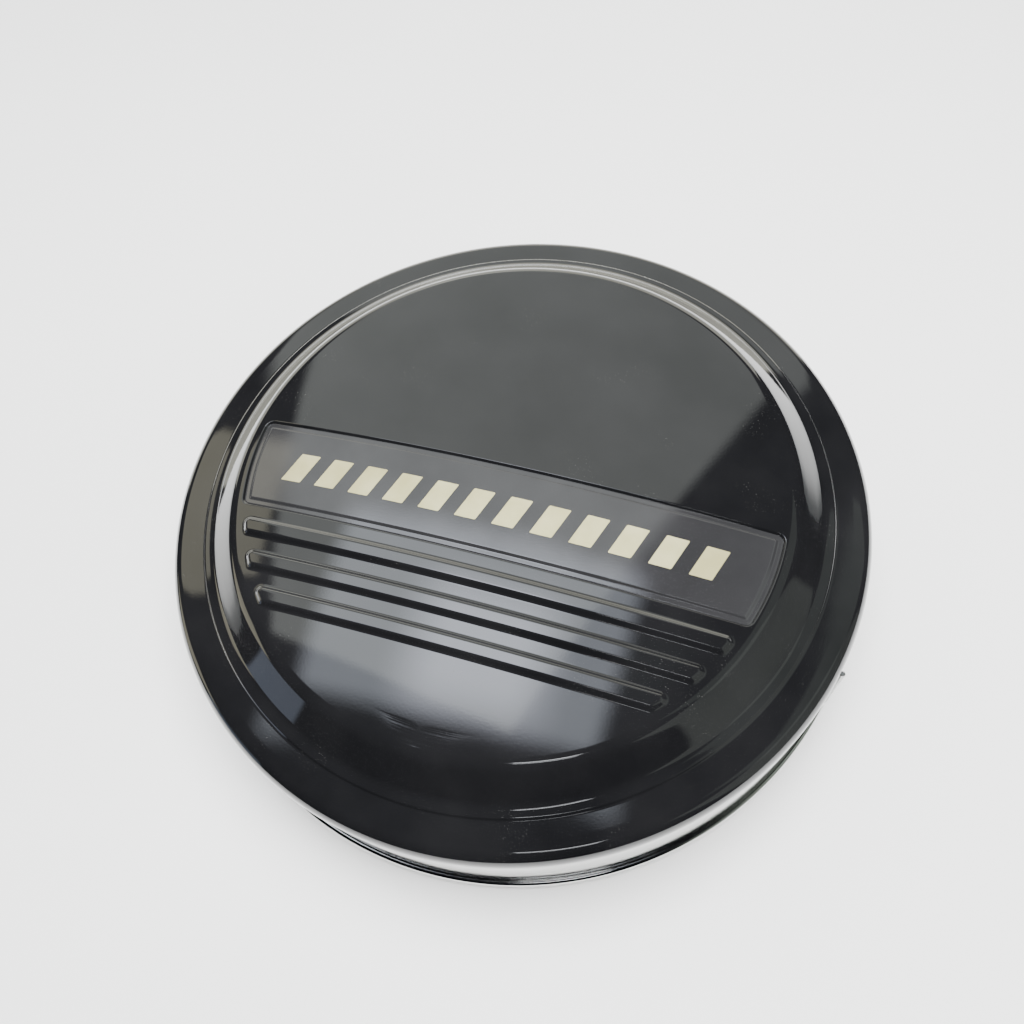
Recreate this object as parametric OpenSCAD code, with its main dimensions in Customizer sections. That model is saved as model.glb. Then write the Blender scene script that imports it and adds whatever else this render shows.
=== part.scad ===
// Hard-shell spare tire cover: a moulded face with a nameplate and three ribs, and a two-piece
// polished side band that hinges open and draws tight round the tyre with an over-centre latch.
// It lies face up: +Z comes out of the face, +X runs along the nameplate and +Y is up on the car.
// Z = 0 is the rear rim, and the wheel's axis is the Z axis.

/* [Cover] */
// Outer radius of the face
cover_r = 395; // [360:1:430]
// Radius of the tyre tread that the liners grip
tyre_r = 388.5; // [353:0.5:423]
// Height of the side band above its rear bead
band_h = 103; // [90:1:150]
// Height of the rubber trim under the bead
trim_h = 14; // [8:1:25]

/* [Face] */
// Wall of the moulded face
shell_t = 3; // [2.5:0.5:4]
// Radius of the disc inside the shoulder
disc_r = 304; // [290:1:310]
// Radius of curvature of the domed disc
dome_r = 2280; // [1800:10:4000]
// Slope of the shoulder in degrees
shoulder_slope = 40; // [30:1:50]
// Radius of the step line between the two outer rings
step_r = 353; // [350:1:356]
// Height of that step
step_h = 1.8; // [0.5:0.1:3]
// Rounding of the outer edge
edge_round = 16; // [10:1:20]

/* [Nameplate and ribs] */
// Radius of the circle that the nameplate's ends follow
plate_r = 300; // [280:1:302]
// Upper edge of the nameplate recess
plate_top = 8; // [0:1:20]
// Lower edge of the nameplate recess
plate_bottom = -101; // [-110:1:-80]
// Depth of the recess
plate_depth = 2.5; // [2:0.1:3]
// Height of each rib's outline
rib_w = 23; // [16:1:26]
// Distance from one rib to the next
rib_pitch = 36.5; // [30:0.5:40]
// How far the ribs stand out
rib_h = 4; // [2:0.5:6]
// Number of slanted bars on the nameplate
stripe_count = 12; // [6:1:13]

/* [Side band] */
// Thickness of the stainless sheet
sheet_t = 1.2; // [0.8:0.1:1.5]
// Radius of the rolled rear bead
bead_r = 4.5; // [3:0.5:6]
// Angle below the nameplate's line at which the band is split on both sides
split_angle = 15; // [5:1:30]
// Number of rivets that hold the upper band to the face
rivet_count = 6; // [4:1:9]

/* [Hinge and latch] */
// Number of hinge knuckles
knuckles = 5; // [3:2:9]
// Outer radius of the hinge barrel
barrel_r = 2.8; // [2.4:0.1:3]
// Radius of the hinge pin
hinge_pin_r = 1.4; // [1.2:0.1:1.6]
// Height of the latch above the rear rim
latch_z = 66; // [55:1:75]
// Radius of the lever's pivot pin
lever_pin_r = 2.2; // [2:0.1:3]
// Radius of the latch loop's wire
wire_r = 2; // [1.5:0.1:2.2]

/* [Hidden] */

$fn = 48;
ring_fn = 240;

// Colours
gloss_black = [0.05, 0.05, 0.055];
plate_black = [0.12, 0.12, 0.13];
pale_gold = [0.80, 0.78, 0.62];
steel = [0.80, 0.81, 0.80];
dark_rubber = [0.20, 0.20, 0.19];
foam_grey = [0.30, 0.30, 0.31];

// Side band levels and radii
band_out = cover_r - 1;
band_in = band_out - sheet_t;
band_bottom = trim_h;
bead_z = trim_h + bead_r;
bead_centre_r = band_out + 1.5;
band_top = bead_z + band_h;
body_gap = 0.5;               // between the moving band and the face's lip
lip_z = band_top + body_gap;
skirt_out = band_in - 1.3;
skirt_h = 20;
liner_low = 36;
liner_high = 90;
upper_start = -split_angle;
upper_span = 180 + 2 * split_angle;
lower_start = split_angle - 180;
lower_span = 180 - 2 * split_angle;
seam_gap = 0.3;               // each side of a split

// Face profile: stations [radius, height, slope], from the lip up and in to the apex
edge_z = lip_z + 3.5;
ring_slope = 6;
flat_slope = 10;
valley_round = 18;
shoulder_round = 26;
ring_start_r = cover_r - edge_round * (1 - sin(ring_slope));
ring_start_z = edge_z + edge_round * cos(ring_slope);
step_out_r = step_r + 1.5;
step_z = ring_start_z + (ring_start_r - step_out_r) * tan(ring_slope);
flat_r = step_r - 6;
flat_z = step_z + step_h + 6 * tan(flat_slope);
valley_r = flat_r - valley_round * (sin(shoulder_slope) - sin(flat_slope));
valley_z = flat_z + valley_round * (cos(flat_slope) - cos(shoulder_slope));
dome_slope = asin(disc_r / dome_r);
shoulder_r = disc_r + shoulder_round * (sin(shoulder_slope) - sin(dome_slope));
shoulder_z = valley_z + (valley_r - shoulder_r) * tan(shoulder_slope);
disc_z = shoulder_z + shoulder_round * (cos(dome_slope) - cos(shoulder_slope));
apex_z = disc_z + dome_r * (1 - cos(dome_slope));

function steps(n) = [for (i = [0 : n]) i / n];
dome_stations = [for (s = steps(8)) let (a = dome_slope * s)
    [dome_r * sin(a), apex_z - dome_r * (1 - cos(a)), a]];
shoulder_stations = [for (s = steps(5)) let (a = dome_slope + (shoulder_slope - dome_slope) * s)
    [disc_r + shoulder_round * (sin(a) - sin(dome_slope)),
     disc_z - shoulder_round * (cos(dome_slope) - cos(a)), a]];
valley_stations = [for (s = steps(4)) let (a = shoulder_slope + (flat_slope - shoulder_slope) * s)
    [flat_r - valley_round * (sin(a) - sin(flat_slope)),
     flat_z + valley_round * (cos(flat_slope) - cos(a)), a]];
step_stations = [[step_r, step_z + step_h, flat_slope], [step_out_r, step_z, ring_slope]];
function edge_stations(last) = [for (s = steps(6)) let (a = ring_slope + (last - ring_slope) * s)
    [cover_r - edge_round * (1 - sin(a)), edge_z + edge_round * cos(a), a]];
function stations(last) = concat(dome_stations, [for (i = [1 : 5]) shoulder_stations[i]],
                                 valley_stations, step_stations, edge_stations(last));

// The skin a depth t under the outer surface
function skin(list, t) = [for (s = list) [max(0, s[0] - t * sin(s[2])), s[1] - t * cos(s[2])]];
function backwards(list) = [for (i = [len(list) - 1 : -1 : 0]) list[i]];

module spin(outline_fn = ring_fn) { rotate_extrude($fn = outline_fn) children(); }

// A ring sector from angle a0 over a span, revolved from its cross-section
module sector(a0, span) {
    rotate([0, 0, a0]) rotate_extrude(angle = span, $fn = ring_fn) children();
}

module ring_box(r0, r1, z0, z1) { translate([r0, z0]) square([r1 - r0, z1 - z0]); }

// A layer of the domed disc between two depths
module dome_layer(t0, t1) {
    spin() polygon(concat(skin(dome_stations, t0), backwards(skin(dome_stations, t1))));
}

// A bar whose ends follow the circle of radius r, with rounded corners: its right-hand side from
// the top to the bottom
function bar_side(r, y0, y1, corner) =
    let (hi = y1 - corner, lo = y0 + corner,
         x_hi = sqrt(pow(r - corner, 2) - hi * hi), x_lo = sqrt(pow(r - corner, 2) - lo * lo),
         a_hi = atan2(hi, x_hi), a_lo = atan2(lo, x_lo))
    concat([for (s = steps(4)) let (a = 90 + (a_hi - 90) * s)
                [x_hi + corner * cos(a), hi + corner * sin(a)]],
           [for (i = [1 : 9]) let (a = a_hi + (a_lo - a_hi) * i / 10) [r * cos(a), r * sin(a)]],
           [for (s = steps(4)) let (a = a_lo + (-90 - a_lo) * s)
                [x_lo + corner * cos(a), lo + corner * sin(a)]]);

module arc_ended_bar(r, y0, y1, corner) {
    side = bar_side(r, y0, y1, corner);
    polygon(concat(side, [for (p = backwards(side)) [-p[0], p[1]]]));
}

module plate_outline(inset = 0) {
    arc_ended_bar(plate_r - inset, plate_bottom + inset, plate_top - inset, 9 - inset);
}

// Part of the domed disc inside an outline, between two depths
module dome_piece(t0, t1) {
    intersection() {
        dome_layer(t0, t1);
        translate([0, 0, disc_z - 30]) linear_extrude(height = 80) children();
    }
}

stud_places = [for (x = [-240, -80, 80, 240]) [x, (plate_top + plate_bottom) / 2]];
stud_r = 2.5;
stud_length = 9;
backing_t = 2.5;
nut_t = 1.2;
function dome_z(p) = apex_z - dome_r + sqrt(dome_r * dome_r - p[0] * p[0] - p[1] * p[1]);

module face_shell() {
    rib_end_r = plate_r - 2;
    first_rib_top = plate_bottom - 14;
    color(gloss_black) difference() {
        union() {
            spin() polygon(concat(
                skin(stations(90), 0),
                [[cover_r, lip_z], [skirt_out, lip_z], [skirt_out, lip_z - skirt_h],
                 [skirt_out - shell_t, lip_z - skirt_h]],
                backwards(skin(stations(50), shell_t))));
            dome_piece(shell_t - 0.5, plate_depth + backing_t)
                arc_ended_bar(disc_r - 3, plate_bottom - 5, plate_top + 5, 12);
            for (i = [1 : 3]) dome_piece(-rib_h, 1)
                arc_ended_bar(rib_end_r, first_rib_top - rib_w - (i - 1) * rib_pitch,
                              first_rib_top - (i - 1) * rib_pitch, 8);
        }
        dome_piece(-1, plate_depth) plate_outline();
        for (p = stud_places) translate([p[0], p[1], apex_z - 60])
            cylinder(r = stud_r + 0.2, h = 80);
        for (i = [0 : rivet_count - 1]) rivet_place(i)
            rotate([0, 90, 0]) cylinder(r = rivet_r, h = 30, center = true);
    }
}

plate_top_depth = 0.6;
module nameplate() {
    color(plate_black) {
        dome_piece(plate_top_depth, plate_depth) plate_outline(1);
        for (p = stud_places) translate([p[0], p[1], dome_z(p) - plate_depth - stud_length + 0.5])
            cylinder(r = stud_r, h = stud_length);
    }
}

module nameplate_stripes() {
    stripe_w = 24;
    stripe_h = 36;
    slant = 12;
    pitch = 504 / stripe_count;
    middle = (plate_top + plate_bottom) / 2;
    color(pale_gold) dome_piece(plate_top_depth - 0.4, plate_top_depth)
        for (i = [0 : stripe_count - 1])
            translate([(i - (stripe_count - 1) / 2) * pitch, middle])
                polygon([[-stripe_w / 2 - slant / 2, -stripe_h / 2],
                         [stripe_w / 2 - slant / 2, -stripe_h / 2],
                         [stripe_w / 2 + slant / 2, stripe_h / 2],
                         [-stripe_w / 2 + slant / 2, stripe_h / 2]]);
}

module nameplate_push_nuts() {
    clear_of_slope = 0.8;
    color(steel) for (p = stud_places)
        translate([p[0], p[1], dome_z(p) - plate_depth - backing_t - clear_of_slope - nut_t])
        difference() {
            cylinder(r = 7, h = nut_t);
            translate([0, 0, -1]) cylinder(r = stud_r, h = 4);
        }
}

// Foam blocks inside the outer ring that bear on the tyre's side wall
module face_pads() {
    pad_low = lip_z + 4.5;
    inner = skin([valley_stations[4], step_stations[0], step_stations[1], edge_stations(50)[0]],
                 shell_t);
    color(foam_grey) for (i = [0 : 5]) sector(i * 60 + 18, 24)
        polygon(concat(inner, [[inner[3][0], pad_low], [inner[0][0], pad_low]]));
}

// Rubber strip round the face's skirt, which leaves the band room to move
module front_gasket() {
    low = lip_z - skirt_h + 2;
    color(dark_rubber) difference() {
        spin() ring_box(skirt_out, band_in - 0.4, low, lip_z - 1);
        for (i = [0 : rivet_count - 1]) rivet_place(i)
            rotate([0, 90, 0]) cylinder(r = rivet_r, h = 30, center = true);
    }
}

gap_angle = seam_gap / band_out * 180 / PI;
module band_outline() {
    ring_box(band_in, band_out, band_bottom + bead_r, band_top);
    difference() {
        translate([bead_centre_r, bead_z]) circle(r = bead_r);
        translate([bead_centre_r, bead_z]) circle(r = bead_r - sheet_t);
    }
}

module upper_band() {
    color(steel) difference() {
        sector(upper_start + gap_angle, upper_span - 2 * gap_angle) band_outline();
        for (i = [0 : rivet_count - 1]) rivet_place(i)
            rotate([0, 90, 0]) cylinder(r = rivet_r, h = 30, center = true);
        for (p = catch_rivet_places) latch_point(p) cylinder(r = small_rivet_r, h = 12, center = true);
    }
}

module lower_band() {
    color(steel) difference() {
        sector(lower_start + gap_angle, lower_span - 2 * gap_angle) band_outline();
        for (p = base_rivet_places) latch_point(p) cylinder(r = small_rivet_r, h = 12, center = true);
        // The bead is cut back where it swings in past the hinge's axis
        rotate([0, 0, hinge_angle]) translate([hinge_axis_r - 1, -3, -1])
            cube([10, 5, bead_z + bead_r + 2]);
    }
}

liner_margin = 2;
module upper_liner() {
    color(foam_grey) sector(upper_start + liner_margin, upper_span - 2 * liner_margin)
        ring_box(tyre_r, band_in - 0.1, liner_low, liner_high);
}

module lower_liner() {
    color(foam_grey) sector(lower_start + liner_margin, lower_span - 2 * liner_margin)
        ring_box(tyre_r, band_in - 0.1, liner_low, liner_high);
}

// Rubber trim that closes the rear edge: a foot under the bead and a leg inside the sheet
module trim_outline() {
    difference() {
        union() {
            ring_box(band_in - 2.6, bead_centre_r - 0.5, 0, band_bottom + 2);
            ring_box(band_in - 2.6, band_in, 0, band_bottom + 16);
        }
        translate([bead_centre_r, bead_z]) circle(r = bead_r);
        ring_box(band_in, cover_r + 20, bead_z, bead_z + 20);
    }
}

module upper_edge_trim() {
    color(dark_rubber) sector(upper_start + gap_angle, upper_span - 2 * gap_angle) trim_outline();
}

module lower_edge_trim() {
    color(dark_rubber) sector(lower_start + gap_angle, lower_span - 2 * gap_angle) trim_outline();
}

// Pop rivets that hold the upper band to the face's skirt
rivet_r = 2.4;
rivet_z = lip_z - skirt_h / 2;
module rivet_place(i) {
    rotate([0, 0, 30 + i * 120 / (rivet_count - 1)]) translate([band_in, 0, rivet_z]) children();
}

module band_rivets() {
    head_t = 1.4;
    tail_t = 1.5;
    back = skirt_out - shell_t - band_in;
    color(steel) for (i = [0 : rivet_count - 1]) rivet_place(i) rotate([0, 90, 0]) {
        translate([0, 0, sheet_t]) cylinder(r1 = 5, r2 = 3.5, h = head_t);
        translate([0, 0, back]) cylinder(r = rivet_r, h = sheet_t - back);
        translate([0, 0, back - tail_t]) cylinder(r = 3.8, h = tail_t);
    }
}

// Hinge at the right-hand split
hinge_angle = -split_angle;
hinge_axis_r = band_out + barrel_r + 0.4;
hinge_low = bead_z + bead_r + 3;
hinge_high = band_top - 3;
knuckle_h = (hinge_high - hinge_low) / knuckles;
leaf_t = 1.2;
leaf_w = 13;

function arc_deg(length) = length / band_out * 180 / PI;

function knuckle_z(i) = hinge_low + i * knuckle_h;

module at_hinge(z) { rotate([0, 0, hinge_angle]) translate([hinge_axis_r, 0, z]) children(); }

// A leaf on one side of the split: a strip with fingers that carry every second knuckle
module leaf(side, first, bore) {
    finger = 4.5;
    inset = 0.4;
    difference() {
        union() {
            difference() {
                sector(hinge_angle + (side > 0 ? 0 : -arc_deg(leaf_w)), arc_deg(leaf_w))
                    ring_box(band_out, band_out + leaf_t, hinge_low + inset, hinge_high - inset);
                for (i = [1 - first : 2 : knuckles - 1]) rotate([0, 0, hinge_angle])
                    translate([band_out - 5, side > 0 ? -1 : -finger, knuckle_z(i) - inset])
                        cube([10, finger + 1, knuckle_h + 2 * inset]);
            }
            for (i = [first : 2 : knuckles - 1]) at_hinge(knuckle_z(i) + 0.2)
                cylinder(r = barrel_r, h = knuckle_h - 0.4);
        }
        at_hinge(hinge_low - 1) cylinder(r = bore, h = hinge_high - hinge_low + 2);
    }
}

module upper_hinge_leaf() { color(steel) leaf(1, 0, hinge_pin_r); }

module lower_hinge_leaf() { color(steel) leaf(-1, 1, hinge_pin_r + 0.05); }

module hinge_pin() {
    color(steel) rotate([0, 0, hinge_angle]) translate([hinge_axis_r, 0, hinge_low]) {
        cylinder(r = hinge_pin_r, h = hinge_high - hinge_low);
        translate([0, 0, hinge_high - hinge_low]) cylinder(r = 2.2, h = 1);
    }
}

// Steel tongue on the upper band that closes the gap behind the latch
module seam_tongue() {
    reach = arc_deg(13);
    seam = 180 + split_angle;
    color(steel) {
        sector(seam - reach, 2 * reach)
            ring_box(band_in - 1.4, band_in - 0.3, liner_low - 4, liner_high);
        sector(seam - reach, reach - arc_deg(1))
            ring_box(band_in - 0.4, band_in, liner_low - 4, liner_high);
    }
}

// Latch at the left-hand split, in a local frame: X out of the band, Y along it, away from the
// split on the moving side, and Z up
module latch_frame() {
    rotate([0, 0, split_angle - 180]) translate([band_out, 0, latch_z]) children();
}

// A point on the band's surface a distance along it and a height from the latch's middle,
// with Z pointing out
module latch_point(p) {
    rotate([0, 0, split_angle - 180 + arc_deg(p[0])]) translate([band_out, 0, latch_z + p[1]])
        rotate([0, 90, 0]) children();
}

small_rivet_r = 2;
base_rivet_places = [for (y = [13, 41], z = [-19, 19]) [y, z]];
catch_rivet_places = [for (z = [-8, 8]) [-39, z]];
lever_pivot = [8, 20];        // out, along
loop_pivot = [8, 32];
bar_centre = [6, -29];
ear_in = 11.5;
ear_t = 2;
plate_t = 1.5;

module surface_plate(y0, y1, half_width) {
    sector(split_angle - 180 + arc_deg(y0), arc_deg(y1 - y0))
        ring_box(band_out, band_out + plate_t, latch_z - half_width, latch_z + half_width);
}

module across(p, r, half_length) {
    translate([p[0], p[1], -half_length]) cylinder(r = r, h = 2 * half_length);
}

module latch_base() {
    ear_r = 7;
    color(steel) difference() {
        union() {
            surface_plate(8, 46, 24);
            latch_frame() for (z = [ear_in, -ear_in - ear_t]) translate([0, 0, z]) {
                translate([lever_pivot[0], lever_pivot[1], 0]) cylinder(r = ear_r, h = ear_t);
                translate([0.4, lever_pivot[1] - ear_r, 0])
                    cube([lever_pivot[0] - 0.4, 2 * ear_r, ear_t]);
            }
        }
        latch_frame() across(lever_pivot, lever_pin_r, 20);
        for (p = base_rivet_places) latch_point(p) cylinder(r = small_rivet_r, h = 12, center = true);
    }
}

module rivets(places, reach) {
    color(steel) for (p = places) latch_point(p) {
        translate([0, 0, -sheet_t]) cylinder(r = small_rivet_r, h = sheet_t + reach);
        translate([0, 0, reach]) cylinder(r = 3.4, h = 1);
    }
}

module latch_base_rivets() { rivets(base_rivet_places, plate_t); }

module latch_catch_rivets() { rivets(catch_rivet_places, plate_t); }

module latch_lever() {
    handle_end = 78;
    half_w = 10.5;
    cheek_t = 3;
    color(steel) difference() {
        union() {
            sector(split_angle - 180 + arc_deg(16), arc_deg(handle_end - 16))
                ring_box(band_out + 9, band_out + 12, latch_z - half_w, latch_z + half_w);
            rotate([0, 0, split_angle - 180 + arc_deg(handle_end)])
                translate([band_out + 11.5, 0, latch_z - half_w - 0.3])
                    cylinder(r = 2.8, h = 2 * half_w + 0.6);
            latch_frame() for (z = [half_w - 0.2 - cheek_t, 0.2 - half_w])
                translate([lever_pivot[0] - 4.5, lever_pivot[1] - 3.5, z])
                    cube([6, loop_pivot[1] - lever_pivot[1] + 7.5, cheek_t]);
        }
        latch_frame() across(lever_pivot, lever_pin_r + 0.06, 20);
        latch_frame() across(loop_pivot, wire_r + 0.06, 20);
    }
}

module latch_lever_pin() {
    reach = ear_in + ear_t;
    color(steel) latch_frame() {
        across(lever_pivot, lever_pin_r, reach);
        for (z = [reach, -reach - 0.8]) translate([lever_pivot[0], lever_pivot[1], z])
            cylinder(r = lever_pin_r + 0.8, h = 0.8);
    }
}

// Wire loop: two legs, a bar that hooks behind the catch, and two pins in the lever
module latch_loop() {
    leg_z = 17.5;
    pin_end = 8;
    span = loop_pivot - bar_centre;
    color(steel) latch_frame() {
        across(bar_centre, wire_r, leg_z);
        for (side = [-1, 1]) {
            translate([bar_centre[0], bar_centre[1], side * leg_z])
                rotate([0, 0, -atan2(span[0], span[1])]) rotate([-90, 0, 0])
                    cylinder(r = wire_r, h = norm(span));
            translate([loop_pivot[0], loop_pivot[1], side > 0 ? pin_end : -leg_z])
                cylinder(r = wire_r, h = leg_z - pin_end);
            for (p = [bar_centre, loop_pivot]) translate([p[0], p[1], side * leg_z])
                sphere(r = wire_r + 0.25);
        }
    }
}

module latch_catch() {
    hook_half = 9;
    hook_face = bar_centre[1] + wire_r + 0.3;
    color(steel) difference() {
        union() {
            surface_plate(-46, -16, 13);
            latch_frame() translate([0.4, hook_face, -hook_half]) {
                cube([10, 3, 2 * hook_half]);
                cube([2.5, 9, 2 * hook_half]);
            }
        }
        for (p = catch_rivet_places) latch_point(p) cylinder(r = small_rivet_r, h = 12, center = true);
    }
}

face_shell();
nameplate();
nameplate_stripes();
nameplate_push_nuts();
face_pads();
front_gasket();
upper_band();
lower_band();
upper_liner();
lower_liner();
upper_edge_trim();
lower_edge_trim();
band_rivets();
upper_hinge_leaf();
lower_hinge_leaf();
hinge_pin();
seam_tongue();
latch_base();
latch_base_rivets();
latch_lever();
latch_lever_pin();
latch_loop();
latch_catch();
latch_catch_rivets();
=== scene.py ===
import math

import bmesh
import bpy
from mathutils import Matrix, Vector


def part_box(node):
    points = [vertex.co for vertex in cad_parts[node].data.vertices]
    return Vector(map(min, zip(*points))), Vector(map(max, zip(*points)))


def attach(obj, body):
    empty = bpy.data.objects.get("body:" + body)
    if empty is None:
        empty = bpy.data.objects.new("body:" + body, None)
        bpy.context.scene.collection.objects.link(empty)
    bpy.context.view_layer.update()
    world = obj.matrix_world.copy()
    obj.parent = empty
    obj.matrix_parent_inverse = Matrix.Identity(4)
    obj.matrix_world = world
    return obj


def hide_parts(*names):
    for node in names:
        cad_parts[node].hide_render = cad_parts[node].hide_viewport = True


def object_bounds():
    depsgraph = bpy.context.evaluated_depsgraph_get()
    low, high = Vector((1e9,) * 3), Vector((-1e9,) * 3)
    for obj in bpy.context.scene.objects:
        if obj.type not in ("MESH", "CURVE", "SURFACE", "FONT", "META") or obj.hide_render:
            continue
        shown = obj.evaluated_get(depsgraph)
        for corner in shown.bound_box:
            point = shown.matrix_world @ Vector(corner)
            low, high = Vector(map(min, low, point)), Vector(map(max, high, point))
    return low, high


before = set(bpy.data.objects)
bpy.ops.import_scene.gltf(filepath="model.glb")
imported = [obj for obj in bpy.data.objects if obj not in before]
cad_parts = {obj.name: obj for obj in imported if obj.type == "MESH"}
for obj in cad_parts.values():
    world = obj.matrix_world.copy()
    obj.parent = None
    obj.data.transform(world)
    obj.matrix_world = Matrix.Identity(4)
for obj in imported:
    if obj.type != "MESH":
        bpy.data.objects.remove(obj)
cadLow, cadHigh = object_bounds()
mm = 0.001

# Levels and radii shared by the pieces, in millimetres, as in the CAD frame
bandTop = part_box("upper_band")[1].z / mm
lipZ = bandTop + 0.5
bandOut = 394.0
bandIn = 392.8
splitAngle = 15.0
# body, first angle and span of the two halves of the side
upperSide = ("upper_cover", -splitAngle, 180 + 2 * splitAngle)
lowerSide = ("lower_cover", splitAngle - 180, 180 - 2 * splitAngle)
weldReach = 0.002


# Small helpers for meshes

def finishPiece(name, bm, material, body, node, sharp=None):
    bmesh.ops.scale(bm, vec=(mm, mm, mm), verts=bm.verts)
    mesh = bpy.data.meshes.new(name)
    bm.to_mesh(mesh)
    bm.free()
    piece = bpy.data.objects.new(name, mesh)
    bpy.context.collection.objects.link(piece)
    mesh.materials.append(material)
    mesh.shade_smooth()
    if sharp:
        mesh.set_sharp_from_angle(angle=math.radians(sharp))
    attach(piece, body)
    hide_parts(node)


def smoothRamp(value, low, high):
    t = min(max((value - low) / (high - low), 0.0), 1.0)
    return t * t * (3 - 2 * t)


def tangent(degrees):
    return math.tan(math.radians(degrees))


def sine(degrees):
    return math.sin(math.radians(degrees))


def cosine(degrees):
    return math.cos(math.radians(degrees))


def arc(centreR, centreZ, radius, first, last, steps):
    turns = [first + (last - first) * i / steps for i in range(steps + 1)]
    return [(centreR + radius * cosine(a), centreZ + radius * sine(a)) for a in turns]


def openEdges(bm):
    return [edge for edge in bm.edges if edge.is_boundary]


def roundEdges(bm, edges, offset, segments):
    bmesh.ops.bevel(bm, geom=list(edges), offset=offset, segments=segments, affect="EDGES",
                    profile=0.5, material=-1)


def addCopy(bm, part):
    # join a separate mesh to bm, then free it
    mesh = bpy.data.meshes.new("part")
    part.to_mesh(mesh)
    part.free()
    bm.from_mesh(mesh)
    bpy.data.meshes.remove(mesh)


def gridPatch(bm, rows, columns, place):
    # a grid whose points are set out by place(column, row)
    across, up = len(columns) - 1, len(rows) - 1
    grid = bmesh.ops.create_grid(bm, x_segments=across, y_segments=up, size=1)
    for vert in grid["verts"]:
        i = round((vert.co.x + 1) / 2 * across)
        j = round((vert.co.y + 1) / 2 * up)
        vert.co = place(columns[i], rows[j])
    bmesh.ops.remove_doubles(bm, verts=bm.verts, dist=weldReach)


def extrudeRim(bm, edges, move):
    # one more ring of faces outwards, its points moved by move(point)
    made = bmesh.ops.extrude_edge_only(bm, edges=edges)["geom"]
    fresh = {item for item in made if isinstance(item, bmesh.types.BMVert)}
    for vert in fresh:
        vert.co = move(vert.co)
    return [item for item in made if isinstance(item, bmesh.types.BMEdge)
            and item.verts[0] in fresh and item.verts[1] in fresh]


def atStation(radius, height):
    def move(point):
        flat = math.hypot(point.x, point.y)
        return Vector((point.x / flat * radius, point.y / flat * radius, height))
    return move


def revolve(bm, profile, start, span, steps, endRound=0.0):
    # a closed cross-section [(radius, height), ...] swept part of the way round the axis
    turn = Matrix.Rotation(math.radians(start), 4, "Z")
    ring = [bm.verts.new(turn @ Vector((r, 0, z))) for r, z in profile]
    edges = [bm.edges.new((ring[i - 1], ring[i])) for i in range(len(ring))]
    bmesh.ops.spin(bm, geom=ring + edges, cent=(0, 0, 0), axis=(0, 0, 1),
                   angle=math.radians(span), steps=steps, use_merge=False)
    caps = bmesh.ops.holes_fill(bm, edges=openEdges(bm), sides=0)["faces"]
    if endRound:
        roundEdges(bm, {edge for face in caps for edge in face.edges}, endRound, 3)
    bmesh.ops.remove_doubles(bm, verts=bm.verts, dist=weldReach / 4)
    bmesh.ops.recalc_face_normals(bm, faces=bm.faces)


# Helpers for materials

def newMaterial(name, **sockets):
    material = bpy.data.materials.new(name)
    material.use_nodes = True
    tree = material.node_tree
    shader = tree.nodes["Principled BSDF"]
    for label, value in sockets.items():
        shader.inputs[label.replace("_", " ")].default_value = value
    where = tree.nodes.new("ShaderNodeTexCoord")
    return material, tree, shader, where.outputs["Object"]


def noiseAt(tree, where, scale, detail=3.0, roughness=0.5, stretch=None):
    if stretch:
        mapping = tree.nodes.new("ShaderNodeMapping")
        mapping.inputs["Scale"].default_value = stretch
        tree.links.new(where, mapping.inputs["Vector"])
        where = mapping.outputs["Vector"]
    node = tree.nodes.new("ShaderNodeTexNoise")
    node.inputs["Scale"].default_value = scale
    node.inputs["Detail"].default_value = detail
    node.inputs["Roughness"].default_value = roughness
    tree.links.new(where, node.inputs["Vector"])
    return node.outputs["Fac"]


def rampOf(tree, fac, stops):
    node = tree.nodes.new("ShaderNodeValToRGB")
    for element, (position, colour) in zip(node.color_ramp.elements, stops):
        element.position = position
        element.color = (*colour, 1)
    tree.links.new(fac, node.inputs["Fac"])
    return node.outputs["Color"]


def rangeOf(tree, value, low, high, newLow, newHigh, kind="LINEAR"):
    node = tree.nodes.new("ShaderNodeMapRange")
    node.interpolation_type = kind
    for label, number in (("From Min", low), ("From Max", high),
                          ("To Min", newLow), ("To Max", newHigh)):
        node.inputs[label].default_value = number
    tree.links.new(value, node.inputs["Value"])
    return node.outputs["Result"]


def feed(tree, socket, value):
    if isinstance(value, (int, float)):
        socket.default_value = value
    elif isinstance(value, (tuple, Vector)):
        socket.default_value = tuple(value)
    else:
        tree.links.new(value, socket)


def maths(tree, operation, a, b=0):
    node = tree.nodes.new("ShaderNodeMath")
    node.operation = operation
    feed(tree, node.inputs[0], a)
    feed(tree, node.inputs[1], b)
    return node.outputs["Value"]


def mixOf(tree, fac, first, second):
    node = tree.nodes.new("ShaderNodeMix")
    node.data_type = "RGBA"
    tree.links.new(fac, node.inputs["Factor"])
    # sockets 6 and 7 are the two colours
    feed(tree, node.inputs[6], first)
    feed(tree, node.inputs[7], second)
    return node.outputs[2]


def colourBy(tree, shader, fac, low, high, start=0.3, end=0.7):
    tree.links.new(rampOf(tree, fac, [(start, low), (end, high)]), shader.inputs["Base Color"])


def roughnessBy(tree, shader, fac, smooth, rough, start=0.3, end=0.7):
    tree.links.new(rangeOf(tree, fac, start, end, smooth, rough), shader.inputs["Roughness"])


def bumps(tree, shader, *layers):
    # each layer is (height, distance in metres, strength)
    previous = None
    for height, distance, strength in layers:
        node = tree.nodes.new("ShaderNodeBump")
        node.inputs["Distance"].default_value = distance
        node.inputs["Strength"].default_value = strength
        tree.links.new(height, node.inputs["Height"])
        if previous:
            tree.links.new(previous, node.inputs["Normal"])
        previous = node.outputs["Normal"]
    tree.links.new(previous, shader.inputs["Normal"])
    if shader.inputs["Coat Weight"].default_value > 0:
        tree.links.new(previous, shader.inputs["Coat Normal"])


# Gloss black moulded plastic, with faint warp, haze and a few dust specks

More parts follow.
